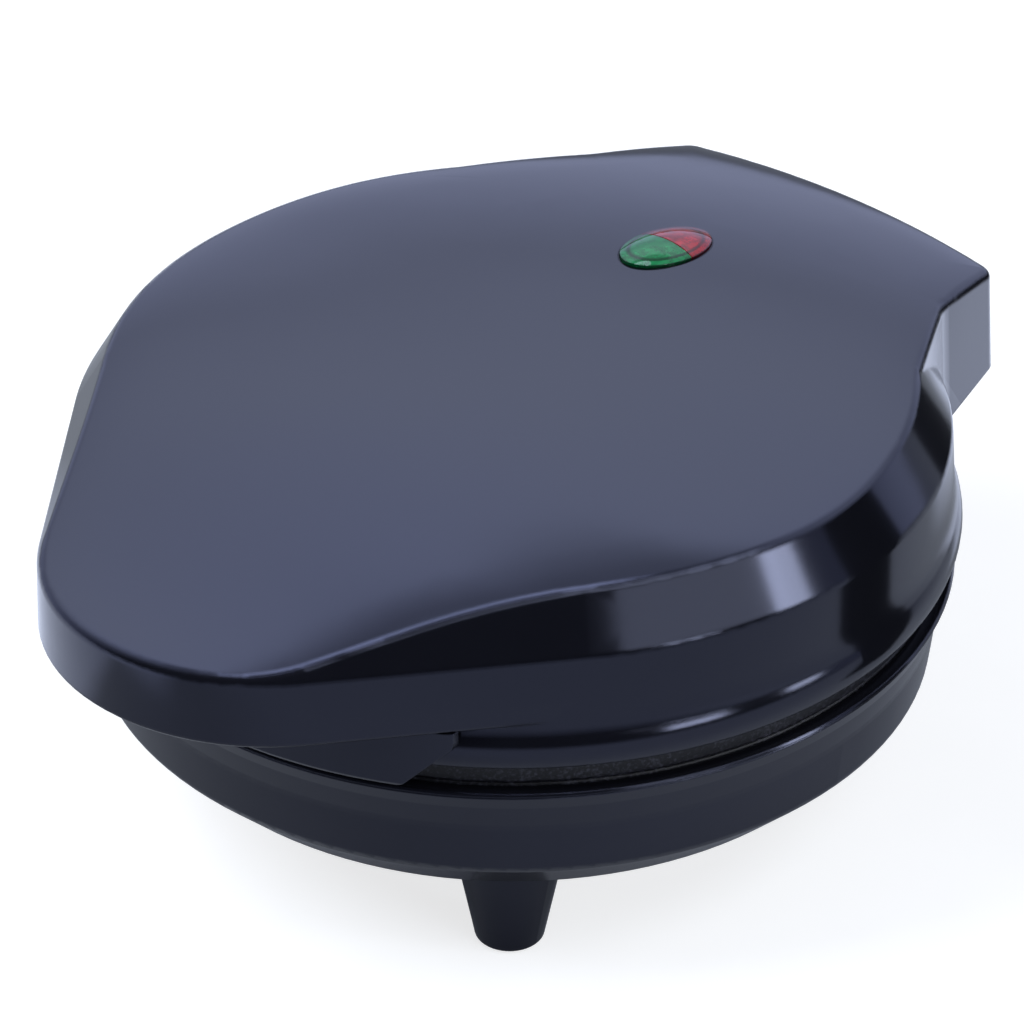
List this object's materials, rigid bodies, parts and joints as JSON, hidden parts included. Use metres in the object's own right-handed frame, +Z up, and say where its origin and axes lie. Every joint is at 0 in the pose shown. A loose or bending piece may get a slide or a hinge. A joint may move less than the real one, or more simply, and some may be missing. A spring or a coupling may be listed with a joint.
{
  "type": "mini donut maker",
  "caption": "Closed countertop maker for small ring cakes: round drum body, domed lid drawn out to a handle tongue, rear hinge block, conical feet, split oval indicator lens.",
  "frame": {"origin": "on the floor under the middle of the overall length and width, with the unit closed and standing on its feet", "axes": "+Z up, -Y towards the handle, +Y towards the hinge, +X to the side"},
  "size_m": [0.212, 0.2592, 0.1217],
  "materials": {
    "housing_black": "moulded high-gloss black plastic",
    "grip_black": "moulded black plastic",
    "pad_rubber": "soft black rubber",
    "plate_coating": "cast aluminium with a grainy dark non-stick coating",
    "heater_steel": "sheathed heater tube",
    "pan_steel": "pressed aluminised steel",
    "screw_steel": "zinc-plated steel",
    "lens_green": "clear green moulded lens",
    "lens_red": "clear red moulded lens",
    "holder_white": "white plastic",
    "lamp_glass": "neon lamp glass",
    "ceramic": "cream phenolic"
  },
  "bodies": {
    "base": {"lower_housing": "housing_black", "foot_pads": "pad_rubber", "lower_plate": "plate_coating", "lower_plate_screws": "screw_steel", "lower_element": "heater_steel", "lower_reflector": "pan_steel", "lower_thermostat": "ceramic", "terminal_block": "ceramic", "hinge_pins": "screw_steel"},
    "lid": {"upper_housing": "housing_black", "handle_grip": "grip_black", "grip_screws": "screw_steel", "lens_green": "lens_green", "lens_red": "lens_red", "lamp_holder": "holder_white", "lamp_green": "lamp_glass", "lamp_red": "lamp_glass", "upper_plate": "plate_coating", "upper_plate_screws": "screw_steel", "upper_element": "heater_steel", "upper_reflector": "pan_steel", "upper_thermostat": "ceramic", "thermal_fuse": "screw_steel"}
  },
  "joints": [
    {"name": "lid_hinge", "type": "hinge", "parent": "base", "child": "lid", "pos_m": [0, 0.11545, 0.07], "axis": [-1, 0, 0], "range_deg": [0, 100]}
  ]
}
